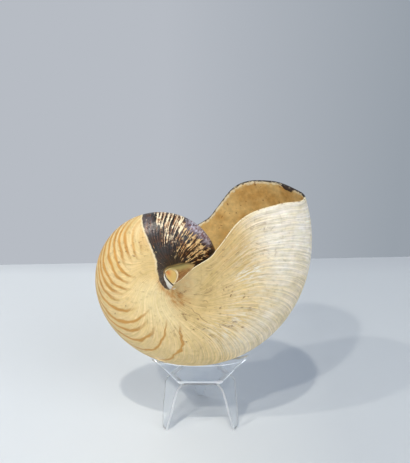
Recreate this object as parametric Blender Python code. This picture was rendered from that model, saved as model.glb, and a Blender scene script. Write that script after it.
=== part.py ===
"""A chambered nautilus shell resting in a clear three-legged stand.

The shell's coil lies in the XZ plane, with its mouth up and to the right. The stand is one sheet of
acrylic: a flat hub with three legs bent down and, between them, three wings bent up as a cradle.
Metres, +Z up. The feet stand on Z = 0, and X and Y are measured from the middle of the whole object.
"""
import math

import bmesh
import bpy
from mathutils import Matrix, Vector

MM = 0.001

# The coil: a spiral about the shell's own axis. Every section across it is one figure, scaled by
# the coil's radius there, and the lengths below without a unit are shares of that radius.
LIP_RADIUS = 113.3 * MM
LIP_ANGLE = math.radians(28.5)
GROWTH = 0.2304
GROWTH_CHANGE = 0.0081
SWELL = ((1, -0.0158, -0.0443), (2, -0.0091, -0.0011))
HALF_BREADTH = 0.399
BROADEST_AT = 0.381
UMBILICUS_RADIUS = 0.04
UMBILICUS_HEIGHT = 0.356
UMBILICAL_FOOT = 0.08
LEAN = math.radians(-2.6)

# The living chamber: a hollow that runs back from the mouth, closed by the small solid coil.
WALL = 1.4 * MM
CHAMBER_TURN = math.radians(300.0)
WALL_OVERLAP = math.radians(8.0)
BURIED_SCALE = 0.985
FLUSH_SCALE = 0.9995

# How far the lip's edge reaches forward of the keel, from the keel (0) to the umbilicus (1).
LIP_REACH = ((0.0, 0.0), (0.1, 1.2), (0.4, 16.4), (0.6, 11.8), (0.72, 11.2), (1.0, 0.0))
LIP_BLEND_TURN = math.radians(90.0)

# The callus that closes the umbilicus on both sides.
CALLUS_RADIUS = 5.0 * MM
CALLUS_REACH = 24.0 * MM
CALLUS_ROUNDING = 3.0 * MM

# The stand, about its own upright axis. The three wings are bent by hand to touch the shell, so
# the lifts set the front, right and left one a little apart in height.
SHEET = 2.0 * MM
HUB_HEIGHT = 41.5 * MM
WING_BEND = 2.2 * MM
WING_ROOT_HALF = 12.4 * MM
WING_ROOT_OUT = 18.0 * MM
WING_SHOULDER_HALF = 16.8 * MM
WING_TIP_HALF = 34.7 * MM
WING_TIP_HEIGHT = 65.7 * MM
WING_TIP_OUT = 22.5 * MM
WING_DIP_HEIGHT = 55.9 * MM
WING_DIP_OUT = 15.2 * MM
WING_LIFTS = (0.85 * MM, 2.4 * MM, -0.8 * MM)
LEG_PROFILE = ((21.6, 41.2, 8.8), (24.4, 39.6, 9.3), (25.9, 37.0, 9.2), (26.8, 32.5, 8.2),
               (27.9, 26.5, 7.3), (29.2, 19.5, 6.6), (30.3, 13.0, 5.5), (31.2, 7.0, 4.2),
               (31.9, 2.0, 2.9), (31.9, 0.0, 2.6))

# Where the shell sits over the stand.
STAND_X = 22.4 * MM
STAND_Y = 3.0 * MM
COIL_HEIGHT = 135.1 * MM

SHELL_COLOUR = (0.72, 0.60, 0.42, 1.0)
ACRYLIC_COLOUR = (0.90, 0.94, 0.96, 1.0)


def clear_scene():
    for thing in list(bpy.data.objects):
        bpy.data.objects.remove(thing, do_unlink=True)


def material(name, colour, roughness, transmission=0.0, ior=1.5):
    made = bpy.data.materials.new(name)
    made.use_nodes = True
    shader = made.node_tree.nodes["Principled BSDF"]
    shader.inputs["Base Color"].default_value = colour
    shader.inputs["Roughness"].default_value = roughness
    shader.inputs["Metallic"].default_value = 0.0
    shader.inputs["Transmission Weight"].default_value = transmission
    shader.inputs["IOR"].default_value = ior
    return made


def solid(name, points, faces, finish):
    mesh = bpy.data.meshes.new(name)
    mesh.from_pydata([tuple(point) for point in points], [], faces)
    form = bmesh.new()
    form.from_mesh(mesh)
    bmesh.ops.recalc_face_normals(form, faces=form.faces)
    form.to_mesh(mesh)
    form.free()
    mesh.shade_smooth()
    mesh.set_sharp_from_angle(angle=math.radians(40.0))
    mesh.materials.append(finish)
    made = bpy.data.objects.new(name, mesh)
    bpy.context.collection.objects.link(made)
    return made


def between(table, share):
    """A smooth value between the table's (share, value) rows."""
    for (low, first), (high, last) in zip(table, table[1:]):
        if share <= high:
            along = (share - low) / (high - low)
            return first + (last - first) * along * along * (3.0 - 2.0 * along)
    return table[-1][1]


def coil_radius(angle):
    """The spiral's radius: steady growth, with a slight swell once and twice in each turn."""
    turn = angle - LIP_ANGLE
    power = GROWTH * turn + GROWTH_CHANGE * turn * turn
    for waves, cosine, sine in SWELL:
        power += cosine * (math.cos(waves * turn) - 1.0) + sine * math.sin(waves * turn)
    return LIP_RADIUS * math.exp(power)


def coil_point(angle, out, across):
    return Vector((out * math.cos(angle), across, out * math.sin(angle)))


def half_section(steps):
    """The section's outline from the keel to the umbilicus, as (share, out, across)."""
    outline = []
    for step in range(steps + 1):
        share = step / steps
        turn = share * math.pi
        if share <= 0.5:
            out = BROADEST_AT + (1.0 - BROADEST_AT) * math.cos(turn)
            across = HALF_BREADTH * math.sin(turn)
        else:
            out = BROADEST_AT + (BROADEST_AT - UMBILICUS_RADIUS) * math.cos(turn)
            across = UMBILICUS_HEIGHT + (HALF_BREADTH - UMBILICUS_HEIGHT) * math.sin(turn)
        outline.append((share, out, across))
    return outline


def full_section(half):
    """Both sides of a half outline, from one umbilicus over the keel to the other."""
    mirrored = [(share, out, -across) for share, out, across in half[1:]]
    return list(reversed(half)) + mirrored


def inset_section(section, depth):
    """The outline moved towards the inside of the whorl by a depth, with mitred corners."""
    sides = []
    for (_, out, across), (_, next_out, next_across) in zip(section, section[1:]):
        sides.append(Vector((next_across - across, out - next_out)).normalized())
    moved = []
    for index, (share, out, across) in enumerate(section):
        before = sides[max(index - 1, 0)]
        after = sides[min(index, len(sides) - 1)]
        mitre = (before + after) / (1.0 + before.dot(after)) * depth
        moved.append((share, max(out + mitre.x, UMBILICUS_RADIUS + depth), across + mitre.y))
    return moved


def grid_faces(rows, columns, start=0):
    faces = []
    for row in range(rows - 1):
        for column in range(columns - 1):
            corner = start + row * columns + column
            faces.append((corner, corner + 1, corner + columns + 1, corner + columns))
    return faces


def inner_coil(finish):
    """The solid coil: one turn, closed by a flat ring at its end and a fan in each umbilicus."""
    section = full_section(half_section(10))
    rows = 37
    columns = len(section)
    end = LIP_ANGLE - CHAMBER_TURN
    angles = [end - math.tau + math.tau * row / (rows - 1) for row in range(rows)]
    points = []
    for angle in angles:
        radius = coil_radius(angle)
        points += [coil_point(angle, out * radius, across * radius) for _, out, across in section]
    faces = grid_faces(rows, columns)
    last = (rows - 1) * columns
    for column in range(columns - 1):
        faces.append((last + column, last + column + 1, column + 1, column))
    for column, side in ((0, 1.0), (columns - 1, -1.0)):
        edge = [row * columns + column for row in range(rows)]
        middle = (points[edge[0]].y + points[edge[-1]].y) / 2.0
        apex = len(points)
        points.append(Vector((0.0, middle, 0.0)))
        loop = edge + [edge[0]]
        for first, second in zip(loop, loop[1:]):
            faces.append((first, second, apex) if side > 0 else (second, first, apex))
    return solid("shell", points, faces, finish)


def chamber_wall(finish):
    """The wall of the living chamber: the same coil as a sheet, up to the shaped lip."""
    half = half_section(10)
    foot = (1.0, UMBILICUS_RADIUS, UMBILICAL_FOOT)
    section = full_section(half + [foot])
    columns = len(section)
    closed = LIP_ANGLE - CHAMBER_TURN
    turns = [closed - WALL_OVERLAP, closed - WALL_OVERLAP / 2.0, closed]
    steps = 44
    turns += [closed + CHAMBER_TURN * step / steps for step in range(1, steps + 1)]
    outer, inner = [], []
    for number, turn in enumerate(turns):
        nearness = max(0.0, 1.0 - (LIP_ANGLE - turn) / LIP_BLEND_TURN) ** 2
        scale = 1.0
        if number < 2:
            scale = BURIED_SCALE
        elif number == 2:
            scale = FLUSH_SCALE
        depth = WALL / coil_radius(turn)
        for line, outline in ((outer, section), (inner, inset_section(section, depth))):
            for share, out, across in outline:
                angle = turn + math.radians(between(LIP_REACH, share)) * nearness
                radius = coil_radius(angle) * scale
                line.append(coil_point(angle, out * radius, across * radius))
    rows = len(turns)
    faces = grid_faces(rows, columns)
    faces += [tuple(reversed(face)) for face in grid_faces(rows, columns, len(outer))]
    border = [(0, column) for column in range(columns)]
    border += [(row, columns - 1) for row in range(1, rows)]
    border += [(rows - 1, column) for column in range(columns - 2, -1, -1)]
    border += [(row, 0) for row in range(rows - 2, -1, -1)]
    ring = [row * columns + column for row, column in border]
    for first, second in zip(ring, ring[1:]):
        faces.append((second, first, first + len(outer), second + len(outer)))
    return solid("chamber_wall", outer + inner, faces, finish)


def callus(finish):
    """A short bar with rounded ends along the coil's axis."""
    form = bmesh.new()
    bmesh.ops.create_cone(form, cap_ends=True, segments=16, radius1=CALLUS_RADIUS,
                          radius2=CALLUS_RADIUS, depth=2.0 * CALLUS_REACH,
                          matrix=Matrix.Rotation(math.pi / 2.0, 4, "X"))
    rims = [edge for edge in form.edges if abs(edge.verts[0].co.y - edge.verts[1].co.y) < MM]
    bmesh.ops.bevel(form, geom=rims, offset=CALLUS_ROUNDING, segments=2, profile=0.5,
                    affect="EDGES", clamp_overlap=True)
    mesh = bpy.data.meshes.new("callus")
    form.to_mesh(mesh)
    form.free()
    mesh.materials.append(finish)
    made = bpy.data.objects.new("callus", mesh)
    bpy.context.collection.objects.link(made)
    return made


def join(target, tool):
    """A union of two closed forms, left as a modifier on the first."""
    union = target.modifiers.new(tool.name, "BOOLEAN")
    union.operation = "UNION"
    union.solver = "MANIFOLD"
    union.object = tool
    tool.hide_render = True
    tool.display_type = "WIRE"
    tool.parent = target


def make_shell():
    finish = material("nautilus_shell", SHELL_COLOUR, 0.45)
    shell = inner_coil(finish)
    join(shell, chamber_wall(finish))
    join(shell, callus(finish))
    shell.location.z = COIL_HEIGHT
    shell.rotation_euler.x = LEAN
    return shell


def wing_point(along, up, lift):
    """A point of a wing above its bend: along is -1 to 1, up is 0 to 1."""
    half = WING_SHOULDER_HALF + (WING_TIP_HALF - WING_SHOULDER_HALF) * up
    rise = abs(along) ** 3
    top = WING_DIP_HEIGHT + (WING_TIP_HEIGHT - WING_DIP_HEIGHT) * rise + lift
    lean = WING_DIP_OUT + (WING_TIP_OUT - WING_DIP_OUT) * rise
    bottom = HUB_HEIGHT + WING_BEND
    height = bottom + (top - bottom) * up
    out = WING_ROOT_OUT + (lean - WING_ROOT_OUT) * up * up
    return Vector((along * half, -out, height))


def wing_rows(columns, rows, lift):
    """The wing's points: its bend, then its plate."""
    shares = [2.0 * column / (columns - 1) - 1.0 for column in range(columns)]
    lines = []
    for step in range(1, 4):
        turn = step / 4.0 * math.pi / 2.0
        out = WING_ROOT_OUT - WING_BEND * (1.0 - math.sin(turn))
        height = HUB_HEIGHT + WING_BEND * (1.0 - math.cos(turn))
        lines.append([Vector((share * WING_ROOT_HALF, -out, height)) for share in shares])
    for row in range(rows):
        lines.append([wing_point(share, row / (rows - 1), lift) for share in shares])
    return lines


def leg_rows(columns):
    shares = [2.0 * column / (columns - 1) - 1.0 for column in range(columns)]
    lines = []
    for out, height, half in LEG_PROFILE:
        lines.append([Vector((share * half, -out, height)) * MM for share in shares])
    return lines


def make_stand():
    """Hub, legs and wings as one sheet, thickened to the acrylic's gauge."""
    finish = material("clear_acrylic", ACRYLIC_COLOUR, 0.03, transmission=1.0, ior=1.49)
    columns = 9
    wing_root = Vector((WING_ROOT_HALF, -(WING_ROOT_OUT - WING_BEND), HUB_HEIGHT))
    corner_out = math.hypot(wing_root.x, wing_root.y)
    corner_turn = math.atan2(wing_root.x, -wing_root.y)
    leg_out = corner_out * math.cos(math.pi / 3.0 - corner_turn)
    points = [Vector((0.0, 0.0, HUB_HEIGHT))]
    faces = []
    rim = []
    for arm in range(6):
        is_wing = arm % 2 == 0
        turn = Matrix.Rotation(arm * math.pi / 3.0, 3, "Z")
        lines = wing_rows(columns, 7, WING_LIFTS[arm // 2]) if is_wing else leg_rows(columns)
        half = wing_root.x if is_wing else corner_out * math.sin(math.pi / 3.0 - corner_turn)
        out = -wing_root.y if is_wing else leg_out
        root = [Vector((half * (2.0 * column / (columns - 1) - 1.0), -out, HUB_HEIGHT))
                for column in range(columns)]
        lines.insert(0, root)
        start = len(points)
        for line in lines:
            points += [turn @ point for point in line]
        faces += grid_faces(len(lines), columns, start)
        rim.append([start + column for column in range(columns)])
    for root in rim:
        for first, second in zip(root, root[1:]):
            faces.append((0, second, first))
    stand = solid("stand", points, faces, finish)
    weld_roots(stand.data)
    thicken = stand.modifiers.new("gauge", "SOLIDIFY")
    thicken.thickness = SHEET
    thicken.offset = 0.0
    thicken.use_even_offset = True
    stand.location = (STAND_X, STAND_Y, 0.0)
    return stand


def weld_roots(mesh):
    """Neighbouring arms share the corner of the hub between them."""
    form = bmesh.new()
    form.from_mesh(mesh)
    bmesh.ops.remove_doubles(form, verts=form.verts, dist=0.01 * MM)
    bmesh.ops.recalc_face_normals(form, faces=form.faces)
    form.to_mesh(mesh)
    form.free()


def centre_on_origin(things):
    """Moves the object sideways until the middle of its box stands over the origin."""
    bpy.context.view_layer.update()
    graph = bpy.context.evaluated_depsgraph_get()
    corners = []
    for thing in things:
        seen = thing.evaluated_get(graph)
        mesh = seen.to_mesh()
        corners += [seen.matrix_world @ vertex.co for vertex in mesh.vertices]
        seen.to_mesh_clear()
    for axis in (0, 1):
        values = [corner[axis] for corner in corners]
        middle = (min(values) + max(values)) / 2.0
        for thing in things:
            thing.location[axis] -= middle
    bpy.context.view_layer.update()


def main():
    clear_scene()
    shell = make_shell()
    stand = make_stand()
    centre_on_origin([shell, stand])


main()
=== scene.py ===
"""A chambered nautilus shell lying in a clear three-legged acrylic stand, on a pale table.

The shell is old and faded: ivory, with orange-brown stripes left on the early half of its outer
whorl, a black film on the whorl inside its mouth, and a closed navel. Lengths are in metres unless
a comment gives mm. A place on the shell is given by its turn, in degrees from the lip and negative
further back, and its share, from the keel (0) to the navel (1 on the far side, -1 on the near one).
"""

import math
from functools import partial

import bpy
import numpy as np
from mathutils import Euler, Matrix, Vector


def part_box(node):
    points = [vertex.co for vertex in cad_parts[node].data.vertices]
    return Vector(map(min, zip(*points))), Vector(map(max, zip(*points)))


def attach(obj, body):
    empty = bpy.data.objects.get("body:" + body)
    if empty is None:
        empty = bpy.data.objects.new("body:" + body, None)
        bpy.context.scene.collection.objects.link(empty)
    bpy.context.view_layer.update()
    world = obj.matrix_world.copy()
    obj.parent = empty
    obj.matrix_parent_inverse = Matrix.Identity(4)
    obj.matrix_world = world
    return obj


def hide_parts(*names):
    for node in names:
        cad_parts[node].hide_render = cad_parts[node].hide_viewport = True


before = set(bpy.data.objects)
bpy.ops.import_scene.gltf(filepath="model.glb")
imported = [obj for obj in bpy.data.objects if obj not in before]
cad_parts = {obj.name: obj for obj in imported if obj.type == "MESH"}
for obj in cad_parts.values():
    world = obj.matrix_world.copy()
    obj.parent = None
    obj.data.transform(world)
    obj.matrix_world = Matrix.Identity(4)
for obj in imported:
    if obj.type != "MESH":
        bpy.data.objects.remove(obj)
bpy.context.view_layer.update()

bl_info = {
    "name": "Nautilus shell on a clear stand",
    "version": (1, 0, 0),
    "blender": (4, 5, 0),
    "location": "3D View > Sidebar > Nautilus",
    "description": "Builds a faded chambered nautilus shell, its clear stand and a plain stage",
    "category": "Object",
}

MM = 0.001
SHELL_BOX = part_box("shell")


# --- Small tools ---

def linear(hex_colour):
    """An sRGB hex colour as linear red, green, blue and alpha."""
    channels = []
    for start in (1, 3, 5):
        value = int(hex_colour[start:start + 2], 16) / 255.0
        channels.append(value / 12.92 if value <= 0.04045 else ((value + 0.055) / 1.055) ** 2.4)
    return (*channels, 1.0)


def through(knots, values):
    """A smooth curve through (x, y) knots, read at an array of values."""
    x, y = np.array(knots, float).T
    slope = np.gradient(y, x)
    values = np.clip(values, x[0], x[-1])
    cell = np.clip(np.searchsorted(x, values, side="right") - 1, 0, len(x) - 2)
    width = x[cell + 1] - x[cell]
    t = (values - x[cell]) / width
    return ((1 + 2 * t) * (1 - t) ** 2 * y[cell] + t * (1 - t) ** 2 * width * slope[cell]
            + t * t * (3 - 2 * t) * y[cell + 1] + t * t * (t - 1) * width * slope[cell + 1])


def ramp(low, high, values):
    """0 below low and 1 above high, with a smooth step between them."""
    t = np.clip((values - low) / (high - low), 0.0, 1.0)
    return t * t * (3.0 - 2.0 * t)


def grid_faces(rows, columns, start=0):
    """The quads of a grid of points, row by row."""
    row, column = np.meshgrid(np.arange(rows - 1), np.arange(columns - 1), indexing="ij")
    corner = (start + row * columns + column).ravel()
    return np.stack([corner, corner + 1, corner + columns + 1, corner + columns], axis=1)


def piece_from(name, points, faces, materials, slots=None):
    """A smooth-shaded mesh object in the scene, with its materials and each face's slot."""
    mesh = bpy.data.meshes.new(name)
    mesh.from_pydata(np.asarray(points).tolist(), [], [tuple(face) for face in faces])
    for finish in materials:
        mesh.materials.append(finish)
    if slots is not None:
        mesh.polygons.foreach_set("material_index", np.asarray(slots, np.int32))
    mesh.shade_smooth()
    made = bpy.data.objects.new(name, mesh)
    bpy.context.scene.collection.objects.link(made)
    return made


def note(piece, name, values):
    """Keeps one number or three numbers for each point of a piece, for its material to read."""
    flat = not isinstance(values, tuple)
    values = np.asarray(values if flat else np.stack(values, axis=-1), np.float32)
    layer = piece.data.attributes.new(name, "FLOAT" if flat else "FLOAT_VECTOR", "POINT")
    layer.data.foreach_set("value" if flat else "vector", values.ravel())


def feed(made, inputs):
    """Sets or links a node's inputs: by name, or in the order in which the node shows them."""
    if isinstance(inputs, dict):
        pairs = [(made.inputs[name], value) for name, value in inputs.items()]
    else:
        pairs = zip([socket for socket in made.inputs if socket.enabled], inputs)
    for socket, value in pairs:
        if isinstance(value, bpy.types.NodeSocket):
            made.id_data.links.new(value, socket)
        else:
            socket.default_value = linear(value) if isinstance(value, str) else value


def node(tree, kind, inputs=(), output=None, **settings):
    """Adds a node with its settings and inputs, and gives its named output, or its first."""
    made = tree.nodes.new("ShaderNode" + kind)
    if kind == "Mix":
        made.data_type = "RGBA"  # every mix here is of colours
    for name, value in settings.items():
        setattr(made, name, value)
    feed(made, inputs)
    return made.outputs[output] if output else next(each for each in made.outputs if each.enabled)


def finish_from(name):
    """An empty material, what adds a node to it, and its Principled shader."""
    made = bpy.data.materials.new(name)
    made.use_nodes = True
    return made, partial(node, made.node_tree), made.node_tree.nodes["Principled BSDF"]


def noted(add, name):
    """The three numbers that a piece keeps for each point under a name."""
    three = add("Attribute", output="Vector", attribute_name=name)
    return add("SeparateXYZ", (three,)).node.outputs


def drawn_out(add, lines, across, along, scale, detail, roughness=0.5):
    """Noise drawn out along the growth lines; its scale is in shares of 1 mm."""
    drawn = add("VectorMath", (lines, (across, along, 1)), operation="MULTIPLY")
    return add("TexNoise", (drawn, scale, detail, roughness))


def waves(add, lines, spacing, noise, bend):
    """Waves across the growth lines, spacing mm apart and bent by a noise, from 0 to 0.5."""
    along = add("SeparateXYZ", (lines,))
    along = add("Math", (along, 1.0 / spacing, 100.0), operation="MULTIPLY_ADD")
    along = add("Math", (noise, bend, along), operation="MULTIPLY_ADD")
    return add("Math", (along, 0.5), operation="PINGPONG")


# --- Sizes and colours ---

def a_length(name, description, default, low, high):
    """A length that a user may change."""
    return bpy.props.FloatProperty(name=name, description=description, default=default, min=low,
                                   max=high, subtype="DISTANCE", unit="LENGTH")


def a_colour(name, description, default):
    """A colour that a user may change, with its default in hex."""
    return bpy.props.FloatVectorProperty(name=name, description=description, size=4, min=0.0,
                                         max=1.0, default=linear(default), subtype="COLOR")


def a_power(name, description, default):
    """A lamp's power, which a user may change."""
    return bpy.props.FloatProperty(name=name, description=description, default=default, min=0.0,
                                   max=200.0, unit="POWER")


class ShellSettings(bpy.types.PropertyGroup):
    lip_radius: a_length("Lip radius", "From the coil's axis to the keel at the lip", 113.3 * MM,
                         0.05, 0.2)
    wall: a_length("Wall", "Thickness of the living chamber's wall", 1.4 * MM, 0.0005, 0.005)
    ivory: a_colour("Ivory", "The warm early half of the outer whorl", "#EAD19C")
    cream: a_colour("Cream", "The plain flank between the stripes and the navel", "#ECDAAC")
    chalk: a_colour("Chalk", "The bleached keel and tip of the late half", "#FFFBF4")
    tan: a_colour("Tan", "The stained late half, towards the navel", "#DABF86")
    stripe: a_colour("Stripe", "The orange-brown flame stripes", "#CC9038")
    dirt: a_colour("Dirt", "The brown dirt in pits and growth lines", "#825022")
    film: a_colour("Film", "The black film on the whorl inside the mouth", "#120F0D")
    callus: a_colour("Callus", "The ochre callus where it meets the whorl", "#BFA266")
    lining: a_colour("Lining", "The tan lining of the living chamber", "#C79B55")


class StandSettings(bpy.types.PropertyGroup):
    gauge: a_length("Sheet", "Thickness of the acrylic sheet", 2.0 * MM, 0.0005, 0.006)
    hub_height: a_length("Hub height", "From the feet up to the middle of the flat hub", 41.5 * MM,
                         0.01, 0.2)
    tint: a_colour("Tint", "The clear sheet's own colour", "#FAFCFE")


class StageSettings(bpy.types.PropertyGroup):
    table: a_colour("Table", "The pale table's colour", "#DBE0E4")
    # Painted shade: the table's colour towards the right, darker for the lamps' light falling off.
    table_right_painted_shade: a_colour("Table, right", "The table, away from the lamps", "#C2C8CE")
    backdrop: a_colour("Backdrop", "The plain wall behind the table", "#B7BCC4")
    # Painted shade: the wall's colour towards the right, darker for the lamps' light falling off.
    backdrop_right_painted_shade: a_colour("Backdrop, right", "The wall, away from the lamps", "#99A1AA")
    high_lamp: a_power("High lamp", "Power of the lamp above the front", 22.0)
    front_lamp: a_power("Front lamp", "Power of the lamp in front, on the left", 18.0)
    side_lamp: a_power("Side lamp", "Power of the lamp at the left", 12.0)
    fill_lamp: a_power("Fill lamp", "Power of the broad, soft lamp at the front right", 27.0)


# --- The shell's shape ---

# The spiral: the lip's direction in degrees above the table, how fast the radius grows for each
# radian and how that changes, and a slight swell once and twice a turn.
LIP_ANGLE = 28.5
GROWTH, GROWTH_CHANGE = 0.2304, 0.0081
SWELL = ((1, -0.0158, -0.0443), (2, -0.0091, -0.0011))

# The section across the whorl, in shares of the coil's radius.
HALF_BREADTH, BROADEST_AT = 0.399, 0.381
NAVEL_RADIUS, NAVEL_HEIGHT = 0.04, 0.356

# How far the coil leans over, and its axis in the part's frame.
LEAN = math.radians(-2.6)
AXIS = SHELL_BOX[0] + Vector((56.49, 46.01, 80.20)) * MM

# Distances on the flank, in shares of the coil's radius: where along the radius they are measured,
# and how far one share is across, on the keel's half and on the navel's half.
FLANK, ACROSS, NAVEL_ACROSS = 0.75, 1.6, 0.7

# How far the lip's edge stands forward of the keel, in degrees, by share; over how many degrees
# that fades out; and how far the lip's rounded rim bulges forward.
LIP_REACH = ((0, 0), (0.12, 2), (0.25, 8.6), (0.4, 16.5), (0.55, 10.5), (0.7, 13.1), (0.85, 4.4),
             (1, -1))
LIP_BLEND = 90
LIP_BULGE = 0.405

# How far an older growth line stands forward of the keel.
LINE_REACH = ((0, 0), (0.03, 0.4), (0.12, 5), (0.3, 13.5), (0.38, 15), (0.44, 12.5),
              (0.5, 5), (0.58, -7), (0.66, -18), (0.74, -28), (0.85, -48), (1, -90))

# The same for the whorl inside the mouth, under the film, where the lines run straighter.
FILM_REACH = ((0, 0), (0.1, 0.8), (0.2, 3), (0.3, 5.5), (0.4, 7.5), (0.48, 7.5), (0.55, 4),
              (0.62, -2), (0.7, -10), (0.8, -25), (1, -70))

# The turn at which each flame stripe leaves the keel, and the share at which it ends. Stripes are
# swept further forward on the later part of the coil.
STRIPES = ((-289, 0.4), (-278, 0.4), (-268, 0.36), (-260.5, 0.32), (-252.5, 0.44),
           (-244.5, 0.39), (-236, 0.41), (-229.5, 0.34), (-223.5, 0.3), (-214.5, 0.39),
           (-203.5, 0.45), (-197, 0.37), (-188, 0.39), (-176.5, 0.47), (-160, 0.46))
EARLY_STRIPE = ((0, 0), (0.1, 7.5), (0.18, 16), (0.26, 22.5), (0.34, 30), (0.42, 37), (0.5, 40),
                (1, 40))
LATE_STRIPE = ((0, 0), (0.1, 19), (0.18, 34), (0.26, 44), (0.34, 48.5), (0.42, 53), (0.5, 56),
               (1, 56))

# Two fine creases in the flank, as (share, turn), and the distance in mm that stands for none.
CREASES = (((0.55, -38), (0.6, -42), (0.68, -46), (0.74, -56), (0.8, -88)),
           ((0.46, -73.5), (0.5, -76), (0.53, -74.5), (0.57, -77), (0.6, -75.5)))
FAR_OFF = 30

# Brown spots on both flanks: turn, share, radius in mm.
SPOTS = ((-258, 0.33, 0.9), (-240, 0.39, 1.2), (-239, 0.32, 0.8), (-224, 0.32, 1.2),
         (-184, 0.74, 1.6), (-172, 0.27, 0.8), (-156, 0.34, 0.8), (-174, 0.38, 0.8),
         (-84, 0.65, 1.6), (-70, 0.65, 1.8), (-76, 0.6, 1.6), (-46, 0.41, 1.2),
         (-45, 0.38, 1.1), (-59, 0.39, 1.5), (-61, 0.35, 1.5))

# Where the black film begins, as (share, turn).
FILM_EDGE = ((0, -273), (0.2, -271), (0.5, -265), (0.6, -257), (0.68, -240), (0.75, -215),
             (0.79, -180), (0.83, -130), (0.9, -90), (1, -60))

# Where the callus begins, as (turn, share).
CALLUS_EDGE = ((-420, 0.2), (-374, 0.4), (-349, 0.53), (-335, 0.63), (-317, 0.705), (-290, 0.75),
               (-262, 0.79), (-240, 0.83), (-217, 0.87), (-158, 0.95), (-120, 1.02), (0, 1.1))

# Where the film ends at the navel and bare nacre shows, as (turn, share), and where that ends.
NACRE_EDGE = ((-200, 1.02), (-180, 0.96), (-150, 0.925), (-120, 0.885), (-95, 0.86), (-60, 0.84))
NACRE_END = (-64, -54)

# How far the living chamber runs back, where the coil starts, and where its rows become fine.
CHAMBER, COIL_START, FINE_FROM = 295, -600, -420

# Zones of the surface, each the strongest of its patches: strength, first and last turn, lowest
# and highest share, and over how many degrees and how much share the patch fades out.
ZONES = {
    "chalk": ((1, -34, 40, -0.2, 0.36, 22, 0.08), (0.5, -80, 40, -0.2, 0.34, 10, 0.05)),
    "tan": ((1, -100, 40, 0.5, 1.2, 22, 0.06), (0.8, -20, 40, 0.38, 1.2, 8, 0.04),
            (0.6, -262, -203, 0.44, 0.82, 12, 0.05)),
    "cream": ((1, -195, -95, 0.46, 1.2, 25, 0.07),),
    "orange": ((1, -115, -62, 0.66, 1.2, 14, 0.06), (0.4, -65, 40, 0.72, 1.2, 14, 0.06),
               (0.9, -205, -95, 0.74, 1.2, 15, 0.05), (0.25, -9, 40, 0.4, 0.52, 5, 0.04)),
    "dirt": ((1, -115, -18, 0.36, 0.62, 10, 0.05), (1, -125, -30, 0.6, 1.2, 10, 0.05),
             (1, -200, -30, 0.72, 1.2, 10, 0.05), (0.6, -12, 40, 0.3, 0.62, 10, 0.05)),
    "flakes": ((1, -25, -12, 0.36, 0.46, 5, 0.03), (1, -60, -48, 0.37, 0.43, 5, 0.03),
               (1, -77, -68, 0.36, 0.43, 4, 0.03), (0.35, -85, 5, 0.25, 0.47, 6, 0.03)),
    "ribs": ((1, -105, 60, -0.2, 0.5, 30, 0.12), (0.8, -225, -60, 0.5, 1.2, 30, 0.12)),
    "smooth": ((0.9, -60, 10, 0.68, 1.2, 14, 0.08),),
    "cream streaks": ((1, -316, -285, -0.2, 0.29, 5, 0.08),
                      (0.75, -312, -286, 0.2, 0.42, 5, 0.06)),
    "brass dashes": ((1, -364, -322, 0.19, 0.4, 7, 0.06), (0.6, -366, -312, 0.16, 0.52, 6, 0.05)),
    # The violet patch's palest flecks are painted highlight: the lamps' gloss on the film, painted
    # as colour.
    "violet mottle and painted gloss": ((1, -356, -319, -0.2, 0.2, 6, 0.06), (0.12, -282, -272, 0.08, 0.3, 3, 0.04)),
    "stained lip": ((1, -30, 30, -0.2, 0.02, 5, 0.02),),
    "chipped lip": ((2, -3, 30, 0.13, 0.2, 2, 0.02),),
}
LEAST_DIRT, LEAST_RIBS = 0.12, 0.42


def zone(name, turn, share):
    """How strong a zone is at each point."""
    size = np.abs(share)
    return np.maximum.reduce([
        strength * ramp(first - fade, first + fade, turn)
        * (1 - ramp(last - fade, last + fade, turn))
        * ramp(low - soft, low + soft, size) * (1 - ramp(high - soft, high + soft, size))
        for strength, first, last, low, high, fade, soft in ZONES[name]])


def coil_radius(turn):
    """The spiral's radius at each turn."""
    angle = np.radians(turn)
    power = GROWTH * angle + GROWTH_CHANGE * angle * angle
    for count, cosine, sine in SWELL:
        power = power + cosine * (np.cos(count * angle) - 1) + sine * np.sin(count * angle)
    return bpy.context.scene.nautilus_shell.lip_radius * np.exp(power)


def section(share):
    """The whorl's outline as (out, across), in shares of the coil's radius."""
    size = np.abs(share)
    turn = size * math.pi
    over = size <= 0.5
    reach = np.where(over, 1 - BROADEST_AT, BROADEST_AT - NAVEL_RADIUS)
    out = BROADEST_AT + reach * np.cos(turn)
    across = np.where(over, HALF_BREADTH * np.sin(turn),
                      NAVEL_HEIGHT + (HALF_BREADTH - NAVEL_HEIGHT) * np.sin(turn))
    return out, across * np.sign(share)


def placed(out, across, turn):
    """Points in the part's frame, from distances out and across and the turn."""
    angle = np.radians(turn + LIP_ANGLE)
    x, y, z = out * np.cos(angle), across, out * np.sin(angle)
    leaned = np.stack([x, y * math.cos(LEAN) - z * math.sin(LEAN),
                       y * math.sin(LEAN) + z * math.cos(LEAN)], axis=-1)
    return leaned + np.array(AXIS)


def sheet_points(turns, shares, inset=0):
    """The coil's surface at each row's turn and column's share, moved in by inset."""
    turn, share = np.meshgrid(turns, shares, indexing="ij")
    near = np.clip(1 + turn / LIP_BLEND, 0, 1) ** 2
    turn = turn + through(LIP_REACH, np.abs(share)) * near
    radius = coil_radius(turn)
    out, across = section(share)
    step = 1e-4
    ahead, behind = section(share + step), section(share - step)
    along = np.stack([ahead[0] - behind[0], ahead[1] - behind[1]])
    along /= np.maximum(np.hypot(*along), 1e-9)
    return out * radius - along[1] * inset, across * radius + along[0] * inset, turn, share


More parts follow.
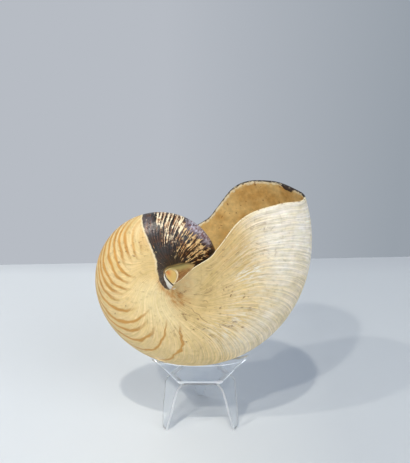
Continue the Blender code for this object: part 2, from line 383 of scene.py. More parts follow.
def growth_of(turn, share):
    """The turn at which the growth line through each point crosses the keel."""
    size = np.abs(share)
    # Over the last 45 degrees the lines come to run along the lip. On the early half of the whorl
    # they sweep nearly twice as far forward.
    late = np.clip(1 + turn / 45, 0, 1) ** 2
    sweep = 1.9 - 0.9 * ramp(-200, -110, turn)
    lines = through(LINE_REACH, size) * np.where(size < 0.5, sweep, 1)
    return turn - late * through(LIP_REACH, size) - (1 - late) * lines


def film_depth(turn, share, out):
    """How far inside the film's edge each point lies, in mm; negative outside it."""
    size = np.abs(share)
    slope = (through(FILM_EDGE, size + 0.01) - through(FILM_EDGE, size - 0.01)) / 0.02
    along = math.radians(1) * np.maximum(out, 2 * MM)
    across = np.where(size < 0.5, ACROSS, NAVEL_ACROSS) * coil_radius(turn)
    return (through(FILM_EDGE, size) - turn) / np.hypot(1 / along, slope / across) / MM


def flank_mm(turn):
    """The length of one degree of the coil on its flank, in mm."""
    return math.radians(FLANK) * coil_radius(turn) / MM


def stripes_at(turn, share):
    """The count of stripes before each point, their gap in mm, and the share past their ends."""
    size = np.abs(share)
    # The late sweep takes over between the turns -235 and -140.
    later = np.clip((turn + 235) / 95, 0, 1)
    start = turn - through(EARLY_STRIPE, size) * (1 - later) - through(LATE_STRIPE, size) * later
    starts, ends = np.array(STRIPES).T
    places = np.arange(len(STRIPES))
    count = np.interp(start, starts, places) + 0.05 * np.clip(start - starts[-1], 0, 99)
    gap = np.interp(count, places[:-1] + 0.5, np.diff(starts))
    past = np.where(count > len(STRIPES) - 0.6, 1, size - np.interp(count, places, ends))
    return count, gap * flank_mm(turn), past


def crease_distance(turn, share, knots):
    """How far each point lies from a crease, in mm; far off beyond the crease's ends."""
    size = np.abs(share)
    beyond = (size < knots[0][0]) | (size > knots[-1][0])
    return np.where(beyond, FAR_OFF, (turn - through(knots, size)) * flank_mm(turn))


def spots_at(turn, share):
    """1 in the middle of each brown spot, fading out over its radius."""
    reach = np.zeros(turn.shape)
    for spot_turn, spot_share, radius in SPOTS:
        distance = np.hypot((turn - spot_turn) * flank_mm(turn),
                            ACROSS * (np.abs(share) - spot_share) * coil_radius(turn) / MM)
        reach = np.maximum(reach, np.exp(-(distance / radius) ** 2))
    return reach


class NAUTILUS_OT_shell(bpy.types.Operator):
    """Builds the shell: outer surface, lip and the living chamber's lining, as one skin"""
    bl_idname = "nautilus.build_shell"
    bl_label = "Shell"

    def execute(self, context):
        settings = context.scene.nautilus_shell
        wall = settings.wall
        shares = np.linspace(-1, 1, 133)
        outer = np.concatenate([np.arange(COIL_START, FINE_FROM, 5),
                                np.arange(FINE_FROM, 0.01, 0.8)])
        lip = np.linspace(0, math.pi, 7)[1:-1]
        inner = -np.concatenate([np.arange(0, 160, 1.6), np.arange(160, CHAMBER, 6)])
        parts = [sheet_points(outer, shares),
                 *(sheet_points(np.array([LIP_BULGE * math.sin(turn)]), shares,
                                wall * (1 - math.cos(turn)) / 2) for turn in lip),
                 sheet_points(inner, shares, wall)]
        out, across, turn, share = (np.concatenate(each) for each in zip(*parts))
        row = np.repeat(np.arange(len(out) - 1), len(shares) - 1)
        slots = np.where(row < len(outer) - 1, 0, np.where(row < len(outer) + len(lip), 1, 2))
        shell = piece_from("nautilus_shell", placed(out, across, turn).reshape(-1, 3),
                           grid_faces(*out.shape),
                           [outer_layer(settings), lip_edge(settings), lining(settings)], slots)
        size = np.abs(share)
        there = {name: zone(name, turn, share) for name in ZONES}
        length, film_length = (
            coil_radius(np.clip(growth, *ends)) / GROWTH / MM for growth, ends in (
                (growth_of(turn, share), (-400, 60)),
                (turn - through(FILM_REACH, size), (-500, 0))))
        width = share * coil_radius(turn) / MM
        from_lip = -np.concatenate([outer, 0 * lip, inner])[:, None]
        over_rim = np.concatenate([0 * outer, (1 - np.cos(lip)) / 2, 0 * inner + 1])
        bare = ramp(-0.01, 0.01, size - through(NACRE_EDGE, turn)) * (1 - ramp(*NACRE_END, turn))
        note(shell, "size", size)
        note(shell, "ribs", np.maximum(there["ribs"], LEAST_RIBS) * (1 - there["smooth"]))
        note(shell, "lines", (length, width, 0 * width))
        note(shell, "film_lines", (film_length, width, 0 * width))
        note(shell, "stripes", stripes_at(turn, share))
        note(shell, "scars", (*(crease_distance(turn, share, crease) for crease in CREASES),
                              spots_at(turn, share)))
        note(shell, "zones", (there["chalk"], there["tan"], there["cream"]))
        note(shell, "marks", (there["orange"], np.maximum(there["dirt"], LEAST_DIRT),
                              there["flakes"]))
        # mm inside the film, mm inside the callus, bare nacre
        note(shell, "film", (film_depth(turn, share, out),
                             (size - through(CALLUS_EDGE, turn)) * coil_radius(turn)
                             * NAVEL_ACROSS / MM, bare))
        note(shell, "sheens", (there["cream streaks"], there["brass dashes"],
                               there["violet mottle and painted gloss"]))
        # mm back from the lip, place across the rim, black stain: 1 on the far side, 3 at the chip
        far = share > 0
        note(shell, "edge", (from_lip * math.radians(1) * out / MM,
                             over_rim[:, None] + 0 * turn,
                             far + there["stained lip"] + zone("chipped lip", turn, share * far)))
        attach(shell, "root")
        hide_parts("shell")
        return {"FINISHED"}


# The callus that closes the navel lies between its upper edge, on the inner whorl's side, and its
# lower edge, under the lip: points along the coil, across it and upwards from its axis, in mm.
CALLUS_UPPER = ((-3.2, 18, 3.4), (-1.5, 16.8, 4.6), (0.7, 16.2, 5.7), (3.3, 15.5, 6.4),
                (8.6, 15, 7.6), (13.8, 14.6, 8.6), (19, 14.2, 7.4))
CALLUS_LOWER = ((-3.2, 18.7, 3.3), (-2.1, 21.1, 1.1), (0.2, 26, 0.1), (3.5, 32, -0.7),
                (6.2, 37, 0.1), (11.3, 41.3, 4.9), (15.9, 42.5, 9.6))
CALLUS_FOOT = ((-3.4, 19.5, 1.5), (-3.5, 21.5, -1), (-1.8, 25, -2.8), (1.2, 30.5, -4),
               (4.2, 34.5, -4.1), (6.8, 38.7, -0.3), (10, 41.5, 3.8))
CALLUS_UP = np.array((0, 0.4, 0.92))

# Its hollow, in shares along and down the callus, and in mm: the hollow's depth, the rim's height
# round it, and the groove's depth under the lower edge.
HOLLOW_AT, HOLLOW_SIZE, HOLLOW_DEPTH = (0.37, 0.62), (0.27, 0.44), 2.2
RIM_HEIGHT, GROOVE_DEPTH = 0.8, 0.7


class NAUTILUS_OT_navel(bpy.types.Operator):
    """Builds the callus that closes the navel on each side, with its hollow and its rim"""
    bl_idname = "nautilus.build_navel"
    bl_label = "Navel callus"

    def execute(self, context):
        shares = np.linspace(0, 1, 41)
        upper, lower, foot = (
            np.stack([through(list(zip(np.linspace(0, 1, len(edge)), places)), shares)
                      for places in zip(*edge)], axis=-1)[:, None]
            for edge in (CALLUS_UPPER, CALLUS_LOWER, CALLUS_FOOT))
        along, down = np.meshgrid(shares, np.linspace(0, 1.3, 40), indexing="ij")
        shelf = np.clip(down, 0, 1)[..., None]
        skirt = np.clip((down - 1) / 0.3, 0, 1)[..., None]
        points = upper * (1 - shelf) + lower * shelf + (foot - lower) * skirt
        distance = np.hypot((along - HOLLOW_AT[0]) / HOLLOW_SIZE[0],
                            (down - HOLLOW_AT[1]) / HOLLOW_SIZE[1])
        rise = (RIM_HEIGHT * np.exp(-((distance - 1.05) / 0.16) ** 2)
                - HOLLOW_DEPTH * np.clip(1 - distance, 0, 1) ** 0.7)
        rise *= ramp(0, 0.12, down) * ramp(0, 0.08, along) * (1 - ramp(0.9, 1, down))
        rise -= GROOVE_DEPTH * np.exp(-((down - 1.07) / 0.04) ** 2)
        points = (points + rise[..., None] * CALLUS_UP).reshape(-1, 3) * MM
        spot = np.exp(-((along - 0.27) / 0.14) ** 2 - ((down - 0.4) / 0.2) ** 2)
        angle, out = np.arctan2(points[:, 2], points[:, 0]), np.hypot(points[:, 0], points[:, 2])
        for side, name in ((-1, "near_navel_callus"), (1, "far_navel_callus")):
            there = placed(out, side * points[:, 1], np.degrees(angle) - LIP_ANGLE)
            piece = piece_from(name, there, grid_faces(*along.shape)[:, ::side],
                               [navel_callus()])
            note(piece, "callus", (distance, down, spot))
            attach(piece, "root")
            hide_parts("shell")
        return {"FINISHED"}


# --- The shell's finishes ---

def outer_layer(settings):
    # Weathered nautilus shell: the porcelain-like outer layer, dulled and partly chalked, so it is
    # satin and not glossy. Stripes lie in it, growth lines roughen it, and film covers its start.
    made, add, shader = finish_from("weathered_nautilus_outer_layer")
    place = add("TexCoord", output="Object")
    lines = add("Attribute", output="Vector", attribute_name="lines")
    ribs = add("Attribute", output="Fac", attribute_name="ribs")
    orange, dirty, flaked = noted(add, "marks")
    colour = ground_colour(add, settings, place, lines, ribs, orange)
    colour = with_stripes(add, settings, colour, place)
    colour, relief = with_growth_lines(add, settings, colour, place, lines, ribs, dirty, flaked)
    colour, filmed = with_film(add, settings, colour, place)
    feed(shader, {
        "Base Color": colour, "Roughness": add("MapRange", (filmed, 0, 1, 0.55, 0.3)),
        "Normal": add("Bump", {"Strength": 0.75, "Distance": 0.5 * MM, "Height": relief})})
    return made


def ground_colour(add, settings, place, lines, ribs, orange):
    """The outer layer's colour under its stripes: ivory, cream, tan and chalk, softly mottled."""
    chalk, tan, cream = noted(add, "zones")
    # Clouds 15 to 20 mm across, and mottles of about 4 mm inside them.
    clouds = add("TexNoise", (place, 55, 5, 0.6))
    mottle = add("TexNoise", (place, 260, 3))
    # The orange stain runs along the growth lines in streaks of 2 mm, which spread from the navel.
    streaks = add("Math", (drawn_out(add, lines, 1, 0.12, 0.5, 3, 0.6), mottle))
    # Pale and olive bands, 2 mm wide, run along the growth lines too, and fade where these fade.
    bands = drawn_out(add, lines, 1, 0.2, 0.42, 3, 0.65)
    stained, bleached, streaks, bands, shade = (add("MapRange", each) for each in (
        (clouds, 0.3, 0.6, 0.55, 1), (clouds, 0.38, 0.62, 1, 0.7), (streaks, 0.85, 1.12, 0.1),
        (bands, 0.38, 0.62), (mottle, 0.3, 0.7, 0.92, 1.06)))
    colour = settings.ivory
    for amount, uneven, over in ((cream, 1, settings.cream), (tan, stained, settings.tan),
                                 (chalk, bleached, settings.chalk), (orange, streaks, "#C08A46")):
        amount = add("Math", (amount, uneven), operation="MULTIPLY")
        colour = add("Mix", (amount, colour, over))
    tone = add("Mix", (bands, "#F4EFDB", "#FFFBF6"))
    banded = add("Math", (ribs, 2.4), operation="MULTIPLY", use_clamp=True)
    for amount, over in ((banded, tone), (1, shade)):
        colour = add("Mix", (amount, colour, over), blend_type="MULTIPLY")
    return colour


def with_stripes(add, settings, colour, place):
    """Adds the flame stripes: 2 mm wide, 6 to 14 mm apart, and browner where they end."""
    count, gap, past = noted(add, "stripes")
    film = noted(add, "film")["X"]
    # Slow noise of about 15 mm bends them, and a finer one of 5 mm varies their width.
    drift = add("TexNoise", (place, 70, 2))
    blotch = add("TexNoise", (place, 200, 3))
    count = add("Math", (drift, 0.7, count), operation="MULTIPLY_ADD")
    count = add("Math", (count, 0.35), operation="SUBTRACT")
    away = add("Math", (count, 0.5), operation="PINGPONG")
    away = add("Math", (away, gap), operation="MULTIPLY")
    away = add("Math", (blotch, -1.6, away), operation="MULTIPLY_ADD")
    amount = add("MapRange", (away, -0.4, 1.05, 1, 0), interpolation_type="SMOOTHSTEP")
    # They fade out past their ends, and within 16 mm of the film.
    ended = add("Math", (blotch, 0.12, past), operation="MULTIPLY_ADD")
    for fade in ((ended, 0.03, 0.12, 0.88, 0), (film, -16, -5, 1, 0.3)):
        amount = add("Math", (amount, add("MapRange", fade)), operation="MULTIPLY")
    inner = add("MapRange", (past, -0.15, 0))
    hue = add("Mix", (inner, settings.stripe, "#B7802F"))
    return add("Mix", (amount, colour, hue))


def with_growth_lines(add, settings, colour, place, lines, ribs, dirty, flaked):
    """Adds the growth lines, the dirt and pits in them and the white flakes; also their relief."""
    # Ridges 3 mm apart at the keel, each a pale crest, and fine lines of 1 mm between them.
    sway = drawn_out(add, lines, 1, 0.04, 0.25, 2)
    fine = drawn_out(add, lines, 1, 0.04, 1.1, 4, 0.7)
    ridges = add("MapRange", (waves(add, lines, 3, sway, 2.4), 0.2, 0.5),
                 interpolation_type="SMOOTHSTEP")
    both = add("Math", (ridges, 0.16, fine), operation="MULTIPLY_ADD")
    shade = add("MapRange", (both, 0.38, 0.74, 0.79, 1.18))
    colour = add("Mix", (ribs, colour, shade), blend_type="MULTIPLY")
    both = add("Math", (both, ribs), operation="MULTIPLY")

    # White flakes 2 mm wide and 5 mm long, where the outermost skin has lifted. Dirt lies in the
    # grooves in patches of 10 mm, and in pits of about 1 mm.
    flakes = drawn_out(add, lines, 0.5, 0.2, 1, 4, 0.65)
    patches = add("TexNoise", (place, 110, 3))
    pits = add("TexNoise", (place, 480, 2))
    flakes, patches, grooves, pits = (add("MapRange", each) for each in (
        (flakes, 0.47, 0.62, 0, 0.9), (patches, 0.47, 0.6), (fine, 0.49, 0.4), (pits, 0.6, 0.66)))
    flakes = add("Math", (flakes, flaked), operation="MULTIPLY")
    dirt = add("Math", (grooves, pits), operation="MAXIMUM")
    for part in (patches, dirty):
        dirt = add("Math", (dirt, part), operation="MULTIPLY")

    # The two creases and the brown spots go into the dirt's mask as well.
    first, second, spots = noted(add, "scars")
    spots = add("MapRange", (add("Math", (spots, fine)), 0.85, 1.3))
    for crease, strength in ((first, 1.4), (second, 1.7)):
        crease = add("Math", (crease,), operation="ABSOLUTE")
        crease = add("MapRange", (crease, 0.3, 1, strength, 0))
        crease = add("Math", (crease, fine), operation="MULTIPLY")
        dirt = add("Math", (dirt, crease), operation="MAXIMUM")
    dirt = add("Math", (dirt, spots), operation="MAXIMUM")
    dirt = add("Math", (dirt, 0.68), operation="MULTIPLY")
    for amount, over in ((flakes, "#F7F1E2"), (dirt, settings.dirt)):
        colour = add("Mix", (amount, colour, over))
    return colour, add("Math", (both, pits), operation="SUBTRACT")


def with_film(add, settings, colour, place):
    """Adds the black film, its brassy streaks and the ochre callus, and says where they lie."""
    depth, callus, bare = noted(add, "film")
    cream, brass, violet = noted(add, "sheens")
    lines = add("Attribute", output="Vector", attribute_name="film_lines")
    size = add("Attribute", output="Fac", attribute_name="size")
    ragged = add("TexNoise", (place, 500, 2))
    depth = add("Math", (ragged, 1.2, depth), operation="MULTIPLY_ADD")
    # Streaks 1 mm wide and 15 mm long run along the growth lines, and so do dashes 0.7 mm wide and
    # 3 mm long. Strokes lie 2 mm apart, bent by the streaks, and a speckle of 2 mm breaks them.
    streaks = drawn_out(add, lines, 1, 0.06, 1.1, 2.5, 0.6)
    dashes = drawn_out(add, lines, 1, 0.2, 1.5, 2.5, 0.6)
    strokes = waves(add, lines, 2, streaks, 2)
    hue = add("MapRange", (add("TexNoise", (place, 230, 2)), 0.38, 0.62))

    # Film: near black, browner towards the navel, with a dull grey band along its edge, with brown
    # and violet-grey streaks where it has worn, and blacker between the brass dashes.
    low, edge, high, worn, upper, mottle_and_painted_gloss = (add("MapRange", each) for each in (
        (size, 0.42, 0.6), (depth, 1, 11, 0.8, 0), (size, 0.15, 0.5, 1, 0.25),
        (streaks, 0.46, 0.62, 0, 0.8), (size, 0.25, 0.5, 1, 0.4), (dashes, 0.4, 0.62)))
    edge, worn, between = (add("Math", each, operation="MULTIPLY") for each in (
        (edge, high), (worn, upper), (brass, 0.5)))
    cast, pink = (add("Mix", (hue, *pair)) for pair in (
        ("#84502E", "#544D4D"), ("#39323F", "#80585A")))
    # In the violet patch, pink mottles with pale blue-white flecks. The flecks are painted
    # highlight, the lamps' gloss on the film.
    mottle_and_painted_gloss = add("Mix", (mottle_and_painted_gloss, pink, "#D2CDDC"))
    dark = settings.film
    for amount, over in ((low, "#2C2318"), (edge, "#3E3932"), (worn, cast), (violet, mottle_and_painted_gloss),
                         (between, "#1D130B")):
        dark = add("Mix", (amount, dark, over))

    # Brass dashes, and cream streaks with brass along their sides.
    for pattern, broken, weight, start, shy, bright in (
            (dashes, 0.95, brass, 1.02, "#94602A", "#F5D69C"),
            (streaks, 0.6, cream, 0.83, "#A06B3A", "#FBEAC6")):
        value = add("Math", (pattern, broken), operation="MULTIPLY")
        for part, force in ((strokes, 0.5), (weight, 0.28), (ragged, 0.4)):
            value = add("Math", (part, force, value), operation="MULTIPLY_ADD")
        shown = add("MapRange", (value, start, start + 0.06))
        strong = add("MapRange", (value, start + 0.02, start + 0.14))
        strong = add("MapRange", (add("Math", (strong, hue)), 0.4, 1.5))
        metal = add("Mix", (strong, shy, bright))
        dark = add("Mix", (shown, dark, metal))

    # A bright line, 1 mm wide, runs along the film's edge where the ivory layer ends.
    line, low, inside, closed = (add("MapRange", each) for each in (
        (depth, -0.9, 0.2, 0, 0.7), (size, 0.6, 0.74, 1, 0.2), (depth, 0.3, 1),
        (callus, -0.8, 1.2)))
    line, bare = (add("Math", each, operation="MULTIPLY") for each in (
        (line, low), (bare, inside)))
    for amount, over in ((line, "#F4E6C4"), (inside, dark), (bare, "#D6D5D0"),
                         (closed, settings.callus)):
        colour = add("Mix", (amount, colour, over))
    return colour, inside


def navel_callus():
    # Nautilus callus: a smooth, waxy deposit, ochre in its hollow and cream on its rim, brown under
    # the lip and paler further in. Nacre shows on the skirt below its groove.
    made, add, shader = finish_from("nautilus_navel_callus")
    ring, down, spot = noted(add, "callus")
    # Streaks and mottles of about 2 mm.
    mottle = add("TexNoise", (add("TexCoord", output="Object"), 480, 3))
    dirty, top, outer, inside, low, skirt, shade = (add("MapRange", each) for each in (
        (mottle, 0.35, 0.65), (down, 0.18, 0.42, 1, 0), (ring, 1.9, 2.5),
        (ring, 0.85, 1, 1, 0), (down, 0.2, 0.4, 0, 0.85), (down, 1.08, 1.12),
        (down, 0, 0.16, 0.25, 1)))
    bowl = add("Mix", (spot, "#D2B671", "#C07B38"))
    rim = add("Math", (ring, 1.02, 0.08), operation="COMPARE")
    rim = add("Math", (rim, low), operation="MULTIPLY")
    groove = add("Math", (down, 1.055, 0.035), operation="COMPARE")
    colour = "#7B4F2C"
    for amount, over in ((dirty, "#B08850"), (top, "#A99A62"), (outer, "#C4A46C"), (inside, bowl),
                         (rim, "#EFE2BC"), (skirt, "#DCDAD3"), (groove, "#3A2C20")):
        colour = add("Mix", (amount, colour, over))
    # Towards its upper edge, where it meets the inner whorl, it is darkened to a quarter: painted
    # shade.
    colour = add("Mix", (1, colour, shade), blend_type="MULTIPLY")
    feed(shader, {
        "Base Color": colour, "Roughness": 0.4,
        "Normal": add("Bump", {"Strength": 0.4, "Distance": 0.3 * MM, "Height": mottle})})
    return made


def lip_edge(settings):
    # The lip: the broken edge of the shell's layers. Black film stains it on the far side, and on
    # the near side it is bare and cream, with brown spots.
    made, add, shader = finish_from("nautilus_lip_edge")
    _, over_rim, stained = noted(add, "edge")
    # Spots of about 3 mm.
    spots = add("TexNoise", (add("TexCoord", output="Object"), 300, 3))
    brown = add("MapRange", (spots, 0.56, 0.64, 0, 0.6))
    stain = add("Math", (spots, over_rim), operation="SUBTRACT")
    stain = add("MapRange", (stain, -0.6, -0.4))
    stain = add("Math", (stain, stained), operation="MULTIPLY", use_clamp=True)
    colour = "#EDE0BC"
    for amount, over in ((brown, settings.dirt), (stain, "#2B2320")):
        colour = add("Mix", (amount, colour, over))
    feed(shader, {
        "Base Color": colour, "Roughness": 0.6,
        "Normal": add("Bump", {"Strength": 0.5, "Distance": 0.3 * MM, "Height": spots})})
    return made


def lining(settings):
    # The living chamber's lining: nacre dulled to a tan satin, with soft clouds, brown pits of
    # about a millimetre and a paler seam along the lip.
    made, add, shader = finish_from("nautilus_chamber_lining")
    from_lip, _, stained = noted(add, "edge")
    place = add("TexCoord", output="Object")
    # Clouds of 15 mm, mottles of 3 mm, pits of 1 mm.
    clouds, mottle, pits = (add("TexNoise", (place, *look)) for look in (
        (65, 4), (330, 3), (480, 1)))
    seam = add("Math", (mottle, 4, from_lip), operation="MULTIPLY_ADD")
    # The black stain of the far edge spreads over 4 mm of the lining where the lip is chipped.
    chip = add("Math", (stained, 1.9), operation="SUBTRACT", use_clamp=True)
    chip = add("Math", (chip, -3.2, from_lip), operation="MULTIPLY_ADD")
    chip = add("Math", (mottle, -3, chip), operation="MULTIPLY_ADD")
    pale, shade, seam, pits, chip = (add("MapRange", each) for each in (
        (clouds, 0.38, 0.62), (mottle, 0.3, 0.7, 0.82, 1.1), (seam, 2.8, 3.8, 0.85, 0),
        (pits, 0.68, 0.74, 0, 0.75), (chip, -1.7, -1.2, 1, 0)))
    colour = add("Mix", (pale, settings.lining, "#DEBC7A"))
    colour = add("Mix", (1, colour, shade), blend_type="MULTIPLY")
    for amount, over in ((seam, "#EBDDB8"), (pits, settings.dirt), (chip, "#3B2A20")):
        colour = add("Mix", (amount, colour, over))
    feed(shader, {
        "Base Color": colour, "Roughness": 0.36,
        "Normal": add("Bump", {"Strength": 0.4, "Distance": 0.4 * MM, "Height": mottle})})
    return made


# --- The stand ---

# A wing: the radius of its bend, its half width, height and distance out at the root, the shoulder,
# the corners and the dip between them, and how far the top of each wing is lifted.
WING_BEND, WING_ROOT_HALF, WING_ROOT_OUT = 2.2 * MM, 12.4 * MM, 18 * MM
WING_SHOULDER_HALF, WING_TIP_HALF = 16.8 * MM, 34.7 * MM
WING_TIP_HEIGHT, WING_TIP_OUT = 65.7 * MM, 22.5 * MM
WING_DIP_HEIGHT, WING_DIP_OUT = 55.9 * MM, 15.2 * MM
WING_LIFTS = (0.85 * MM, 2.4 * MM, -0.8 * MM)

# A leg from its bend down to its foot: out, height and half width, in mm.
LEG_PROFILE = ((21.6, 41.2, 8.8), (24.4, 39.6, 9.3), (25.9, 37, 9.2), (26.8, 32.5, 8.2),
               (27.9, 26.5, 7.3), (29.2, 19.5, 6.6), (30.3, 13, 5.5), (31.2, 7, 4.2),
               (31.9, 2, 2.9), (31.9, 0, 2.6))

# The stand's upright axis on the table.
STAND_MIDDLE = np.array([AXIS.x + 22.4 * MM, AXIS.y + 3 * MM, 0])

# How many rows of faces the bend of a wing and of a leg takes up, how near two points are one, and
# the acrylic's IOR.
WING_BEND_ROWS, LEG_BEND_ROWS = 8, 4
SAME_POINT = 0.01 * MM
ACRYLIC_IOR = 1.49


def wing_lines(shares, lift, hub):
    """A wing's points, row by row, from the hub's edge through its bend to its top edge."""
    turn, up = np.linspace(0, math.pi / 2, 7)[:-1, None], np.linspace(0, 1, 25)[:, None]
    bend = (shares * WING_ROOT_HALF, WING_BEND * (1 - np.sin(turn)) - WING_ROOT_OUT,
            hub + WING_BEND * (1 - np.cos(turn)))
    rise = np.abs(shares) ** 3
    top = WING_DIP_HEIGHT + (WING_TIP_HEIGHT - WING_DIP_HEIGHT) * rise + lift
    lean = WING_DIP_OUT + (WING_TIP_OUT - WING_DIP_OUT) * rise
    half = WING_SHOULDER_HALF + (WING_TIP_HALF - WING_SHOULDER_HALF) * up
    bottom = hub + WING_BEND
    wing = (shares * half, (WING_ROOT_OUT - lean) * up * up - WING_ROOT_OUT,
            bottom + (top - bottom) * up)
    return np.concatenate([np.stack(np.broadcast_arrays(*part), axis=-1) for part in (bend, wing)])


def leg_lines(shares, root_out, root_half, hub):
    """A leg's points, row by row, from the hub's edge down to the foot."""
    knots = [(root_out / MM, hub / MM, root_half / MM), *LEG_PROFILE]
    steps = np.linspace(0, len(knots) - 1, 46)
    out, height, half = (through(list(enumerate(places)), steps)[:, None] * MM
                         for places in zip(*knots))
    return np.stack(np.broadcast_arrays(shares * half, -out, height), axis=-1)


class NAUTILUS_OT_stand(bpy.types.Operator):
    """Builds the stand: one bent sheet with a hub, three legs and three wings"""
    bl_idname = "nautilus.build_stand"
    bl_label = "Clear stand"

    def execute(self, context):
        settings = context.scene.nautilus_stand
        hub = settings.hub_height
        shares = np.linspace(-1, 1, 33)
        columns = len(shares) - 1
        root_out = WING_ROOT_OUT - WING_BEND
        corner_out = math.hypot(WING_ROOT_HALF, root_out)
        corner_turn = math.pi / 3 - math.atan2(WING_ROOT_HALF, root_out)
        points, faces, slots, rim, front = [(0, 0, hub)], [], [], [], [0]
        for arm in range(6):
            turn = arm * math.pi / 3
            if arm % 2 == 0:
                lines, bend = wing_lines(shares, WING_LIFTS[arm // 2], hub), WING_BEND_ROWS
            else:
                lines, bend = leg_lines(shares, corner_out * math.cos(corner_turn),
                                        corner_out * math.sin(corner_turn), hub), LEG_BEND_ROWS
            start, cosine, sine = len(points), math.cos(turn), math.sin(turn)
            turned = lines @ ((cosine, sine, 0), (-sine, cosine, 0), (0, 0, 1))
            points += turned.reshape(-1, 3).tolist()
            faces += grid_faces(len(lines), len(shares), start).tolist()
            # 1 on the front wing, whose edges and bend get a painted glow.
            front += [float(arm == 0)] * (len(points) - start)
            slots += [2] * bend * columns + [0] * (len(lines) - 1 - bend) * columns
            rim += [start + column for column in range(len(shares))]
        for first, second in zip(rim, rim[1:] + rim[:1]):
            if np.linalg.norm(np.subtract(points[first], points[second])) > SAME_POINT:
                faces.append((0, second, first))
        slots += [0] * (len(faces) - len(slots))
        stand = piece_from("clear_stand", np.array(points) + STAND_MIDDLE, faces,
                           [clear_acrylic(settings), acrylic_edge(), acrylic_bend()], slots)
        note(stand, "front", front)
        for name, kind, looks in (
                ("shared corners", "WELD", {"merge_threshold": SAME_POINT}),
                ("gauge", "SOLIDIFY", {"thickness": settings.gauge, "offset": 0,
                                       "use_even_offset": True, "material_offset_rim": 1}),
                ("polished edges", "BEVEL", {"width": 0.3 * MM, "segments": 2,
                                             "limit_method": "ANGLE",
                                             "angle_limit": math.radians(50)})):
            modifier = stand.modifiers.new(name, kind)
            for look, value in looks.items():
                setattr(modifier, look, value)
        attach(stand, "root")
        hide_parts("stand")
        return {"FINISHED"}


def clear_acrylic(settings):
    # Cast acrylic sheet, flame-polished: clear, and seen mostly by what it bends and reflects.
    made, _, shader = finish_from("clear_cast_acrylic")
    feed(shader, {"Base Color": settings.tint, "Roughness": 0.02, "IOR": ACRYLIC_IOR,
                  "Transmission Weight": 1})
    return made


def pale_with_painted_glow(add, shader, strength, look):
    """Gives a pale finish its look, and a painted glow (emission) on the front wing."""
    front = add("Attribute", output="Fac", attribute_name="front")
    glow = add("Math", (front, strength), operation="MULTIPLY")
    feed(shader, {"Base Color": "#FBFDFF", "Emission Color": "#E6EEFA", "Emission Strength": glow,
                  **look})


def acrylic_edge():
    # The sheet's edges: cut and only half polished, so they show as pale lines. On the front wing,
    # from 42 mm up, they get a painted glow (emission): painted light for what the sheet gathers
    # from the lamps, which the front wing faces, and scatters at its edges.
    made, add, shader = finish_from("cut_acrylic_edge")
    height = add("SeparateXYZ", (add("TexCoord", output="Object"),), output="Z")
    pale_with_painted_glow(add, shader, add("MapRange", (height, 42 * MM, 52 * MM)),
              {"Roughness": 0.4, "IOR": ACRYLIC_IOR, "Transmission Weight": 0.6})
    return made


def acrylic_bend():
    # Where the sheet was heated and bent it is slightly hazed, which shows as a soft pale band, and
    # on the front wing it has a faint painted glow (emission). Its IOR is lowered, so that the haze
    # and not a sharp reflection is what the eye sees.
    made, add, shader = finish_from("heat_bent_acrylic")
    pale_with_painted_glow(add, shader, 0.1, {"Roughness": 0.3, "IOR": 1.2, "Transmission Weight": 0.8})
    return made


# --- The stage ---

# The table's back edge behind the coil's axis, how far it slants at each side, half its width, and
# the wall's place behind it, its foot and its top.
TABLE_BACK, TABLE_SLANT, TABLE_HALF = 0.327, 0.155, 3
WALL_BEHIND, WALL_FOOT, WALL_TOP = 0.05, -1, 3

# The lamps: size, azimuth and elevation in degrees, colour. Three small warm ones cast the
# overlapping shadows, and a broad cool one fills them.
WARM, COOL = (1, 0.94, 0.82), (0.93, 0.96, 1)
LAMPS = {"high_lamp": (0.09, -13, 65, WARM), "front_lamp": (0.09, -25, 47, WARM),
         "side_lamp": (0.09, -55, 51, WARM), "fill_lamp": (2, 42, 28, COOL)}
LAMP_DISTANCE = 2.7

CAMERA_FROM_AXIS = Vector((26.3, -531.3, 231.8)) * MM
CAMERA_DOWN = 20.97


class NAUTILUS_OT_stage(bpy.types.Operator):
    """Builds the table, the backdrop, the lamps and the camera"""
    bl_idname = "nautilus.build_stage"
    bl_label = "Stage"

    def execute(self, context):
        settings = context.scene.nautilus_stage
        back = AXIS.y + TABLE_BACK
        ends = [(-TABLE_HALF, back - TABLE_SLANT), (TABLE_HALF, back + TABLE_SLANT)]
        (left, _), (right, _) = ends
        table = piece_from("table", [(left, -TABLE_HALF, 0), (right, -TABLE_HALF, 0),
                                     *((x, y, 0) for x, y in reversed(ends))],
                           [(0, 1, 2, 3)], [table_paint(settings, back)])
        wall = piece_from("backdrop", [(x, y + WALL_BEHIND, WALL_FOOT) for x, y in ends]
                          + [(x, y + WALL_BEHIND, WALL_TOP) for x, y in reversed(ends)],
                          [(0, 1, 2, 3)], [backdrop_paint(settings)])
        target = (SHELL_BOX[0] + SHELL_BOX[1]) / 2
        for name, (size, azimuth, elevation, colour) in LAMPS.items():
            light = bpy.data.lights.new(name, "AREA")
            light.shape, light.size, light.color = "SQUARE", size, colour
            light.energy = getattr(settings, name)
            flat, high = math.radians(azimuth), math.radians(elevation)
            away = Vector((math.sin(flat) * math.cos(high), -math.cos(flat) * math.cos(high),
                           math.sin(high)))
            lamp = bpy.data.objects.new(name, light)
            lamp.location = target + away * LAMP_DISTANCE
            lamp.rotation_euler = away.to_track_quat("Z", "Y").to_euler()
            context.scene.collection.objects.link(lamp)
        context.scene.world = soft_room()
        context.scene.view_settings.view_transform = "Standard"
        camera = bpy.data.objects.new("camera", bpy.data.cameras.new("camera"))
        context.scene.collection.objects.link(camera)
        camera.data.lens, camera.data.sensor_width = 60, 36
        camera.location = AXIS + CAMERA_FROM_AXIS
        camera.rotation_euler = Euler((math.radians(90 - CAMERA_DOWN), 0, 0))
        context.scene.camera = camera
        return {"FINISHED"}


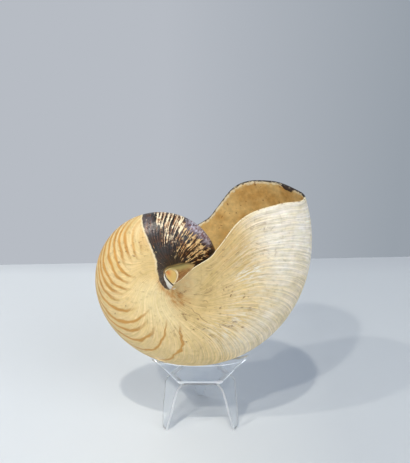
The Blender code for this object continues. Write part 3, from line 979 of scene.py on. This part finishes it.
def seen(add):
    """1 for what the eye sees directly, in gloss or through clear plastic, and 0 for lighting."""
    rays = add("LightPath").node.outputs
    shown = rays["Is Camera Ray"]
    for name in ("Is Glossy Ray", "Is Transmission Ray"):
        shown = add("Math", (shown, rays[name]), operation="MAXIMUM")
    return shown


def soft_room():
    # Soft room light. Gloss and clear plastic show a paler room than the one that lights it all.
    world = bpy.data.worlds.new("soft room light")
    world.use_nodes = True
    tree = world.node_tree
    add, room = partial(node, tree), tree.nodes["Background"]
    feed(room, {"Color": "#D6E5FF", "Strength": 0.42})
    pale = add("Background", {"Color": "#E4E9F0", "Strength": 0.8})
    both = add("MixShader", (seen(add), room.outputs[0], pale))
    feed(tree.nodes["World Output"], {"Surface": both})
    return world


def table_paint(settings, back):
    # Matt painted board: one pale colour with no gloss, a little duller away from the lamps. That
    # duller right side is painted shade, for the lamps' light falling off.
    made, add, shader = finish_from("painted_table")
    x, y, _ = add("SeparateXYZ", (add("TexCoord", output="Object"),)).node.outputs
    right = add("MapRange", (x, AXIS.x - 0.02, AXIS.x + 0.14))
    edge = add("MapRange", (y, back - 0.04, back, 0, 0.5))
    colour = settings.table
    for amount, over in ((right, settings.table_right_painted_shade), (edge, settings.backdrop)):
        colour = add("Mix", (amount, colour, over))
    feed(shader, {"Base Color": colour, "Roughness": 0.8})
    return made


def backdrop_paint(settings):
    # Matt painted wall. The eye sees its own colour and none of the lamps' spots on it, and it is
    # open from behind, so that the shell can be looked at from there.
    made, add, shader = finish_from("painted_backdrop")
    x = add("SeparateXYZ", (add("TexCoord", output="Object"),))
    # Darker towards the right: painted shade, for the lamps' light falling off.
    right = add("MapRange", (x, AXIS.x - 0.02, AXIS.x + 0.27))
    colour = add("Mix", (right, settings.backdrop, settings.backdrop_right_painted_shade))
    feed(shader, {"Base Color": colour, "Roughness": 0.9})
    glow = add("Emission", {"Color": colour, "Strength": 1})
    front = add("MixShader", (seen(add), shader.outputs[0], glow))
    behind = add("NewGeometry", output="Backfacing")
    both = add("MixShader", (behind, front, add("BsdfTransparent")))
    feed(made.node_tree.nodes["Material Output"], {"Surface": both})
    return made


# --- The add-on ---

class NAUTILUS_PT_panel(bpy.types.Panel):
    bl_idname = "NAUTILUS_PT_panel"
    bl_label = "Nautilus shell"
    bl_space_type = "VIEW_3D"
    bl_region_type = "UI"
    bl_category = "Nautilus"

    def draw(self, context):
        layout = self.layout
        for operators, group in (((NAUTILUS_OT_shell, NAUTILUS_OT_navel), "nautilus_shell"),
                                 ((NAUTILUS_OT_stand,), "nautilus_stand"),
                                 ((NAUTILUS_OT_stage,), "nautilus_stage")):
            for operator in operators:
                layout.operator(operator.bl_idname)
            settings = getattr(context.scene, group)
            for name in settings.__annotations__:
                layout.prop(settings, name)


SETTINGS = (("nautilus_shell", ShellSettings), ("nautilus_stand", StandSettings),
            ("nautilus_stage", StageSettings))
OPERATORS = (NAUTILUS_OT_shell, NAUTILUS_OT_navel, NAUTILUS_OT_stand, NAUTILUS_OT_stage)


def register():
    for name, group in SETTINGS:
        bpy.utils.register_class(group)
        setattr(bpy.types.Scene, name, bpy.props.PointerProperty(type=group))
    for made in (*OPERATORS, NAUTILUS_PT_panel):
        bpy.utils.register_class(made)


def unregister():
    for made in (NAUTILUS_PT_panel, *reversed(OPERATORS)):
        bpy.utils.unregister_class(made)
    for name, group in reversed(SETTINGS):
        delattr(bpy.types.Scene, name)
        bpy.utils.unregister_class(group)


def main():
    register()
    bpy.ops.nautilus.build_stage()
    bpy.ops.nautilus.build_shell()
    bpy.ops.nautilus.build_navel()
    bpy.ops.nautilus.build_stand()


if __name__ == "__main__":
    main()
